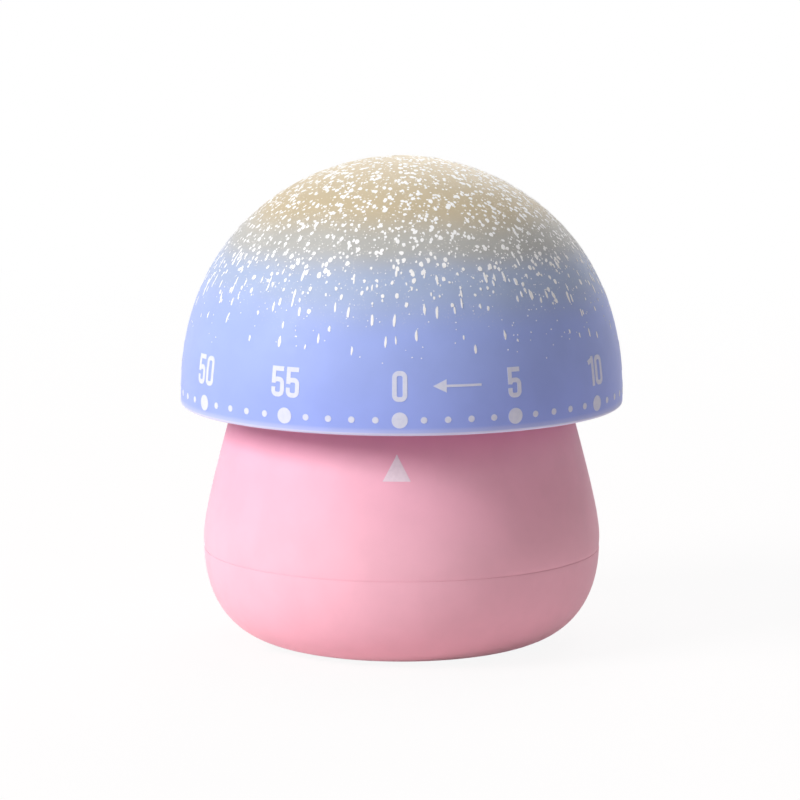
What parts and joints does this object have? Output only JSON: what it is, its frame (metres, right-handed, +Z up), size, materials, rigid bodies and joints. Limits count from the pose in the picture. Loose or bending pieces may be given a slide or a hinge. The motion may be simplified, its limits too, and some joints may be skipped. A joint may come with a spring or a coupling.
{
  "type": "mechanical kitchen timer",
  "caption": "Mushroom-shaped wind-up kitchen timer: a domed cap that is dial and knob, on a rounded stem that holds a spring-driven movement and a bell.",
  "frame": {"origin": "centre of the standing face, on the cap's axis", "axes": "+Z up along the cap's axis; the pointer on the stem faces -Y"},
  "size_m": [0.07, 0.07, 0.077],
  "materials": {
    "cap_plastic": "soft matt, blue fading to sand at the crown, with pale paint flecks and a white printed minute ring",
    "base_plastic": "soft matt, coral pink fading to pale pink",
    "hub_plastic": "natural moulded",
    "brass": "stamped and tumbled",
    "steel": "bright turned",
    "spring_steel": "blued",
    "bell_metal": "nickel plated"
  },
  "bodies": {
    "base": {"base_shell": "base_plastic", "bottom_cover": "base_plastic", "cover_screw_1": "steel", "cover_screw_2": "steel", "cover_screw_3": "steel", "deck_bush": "brass", "movement_screw_1": "steel", "movement_screw_2": "steel", "movement_screw_3": "steel", "top_plate": "brass", "bottom_plate": "brass", "frame_pillar_1": "steel", "frame_pillar_2": "steel", "frame_pillar_3": "steel", "stop_stud": "steel", "spring_post": "steel", "mainspring": "spring_steel", "bell": "bell_metal", "bell_post": "steel", "bell_screw": "steel", "hammer_spring": "spring_steel"},
    "dial": {"cap_shell": "cap_plastic", "cap_hub": "hub_plastic", "main_arbor": "steel", "great_wheel": "brass", "clutch_spring": "spring_steel", "clutch_collar": "brass", "trip_disc": "steel"},
    "second": {"second_arbor": "steel", "second_wheel": "brass"},
    "third": {"third_arbor": "steel", "third_wheel": "brass"},
    "escape": {"escape_arbor": "steel", "escape_wheel": "brass"},
    "balance": {"balance_arbor": "steel", "balance_wheel": "brass", "pallet_anchor": "steel", "pallet_pin_1": "steel", "pallet_pin_2": "steel"},
    "hammer": {"hammer_arbor": "steel", "trip_tail": "steel", "hammer_arm": "steel", "hammer_head": "brass"}
  },
  "joints": [
    {"name": "dial_turn", "type": "hinge", "parent": "base", "child": "dial", "pos_m": [0, 0, 0.032], "axis": [0, 0, -1], "range_deg": [0, 342], "deforming": ["mainspring"]},
    {"name": "second_spin", "type": "hinge", "parent": "base", "child": "second", "pos_m": [0.01188, 0, 0.032], "axis": [0, 0, 1], "range_deg": [0, 2736]},
    {"name": "third_spin", "type": "hinge", "parent": "base", "child": "third", "pos_m": [0.00979, 0.00805, 0.032], "axis": [0, 0, -1], "range_deg": [0, 19152]},
    {"name": "escape_spin", "type": "hinge", "parent": "base", "child": "escape", "pos_m": [0.00409, 0.012, 0.032], "axis": [0, 0, 1], "range_deg": [0, 153216]},
    {"name": "balance_swing", "type": "hinge", "parent": "base", "child": "balance", "pos_m": [-0.00167, 0.01256, 0.032], "axis": [0, 0, 1], "range_deg": [-7, 7]},
    {"name": "hammer_swing", "type": "hinge", "parent": "base", "child": "hammer", "pos_m": [-0.0124, 0, 0.032], "axis": [0, 0, 1], "range_deg": [-2.5, 25], "stiffness_Nm_per_rad": 0.002, "deforming": ["hammer_spring"]}
  ],
  "couplings": [
    {"joint": "second_spin", "follows": "dial_turn", "ratio": 8},
    {"joint": "third_spin", "follows": "dial_turn", "ratio": 56},
    {"joint": "escape_spin", "follows": "dial_turn", "ratio": 448}
  ]
}
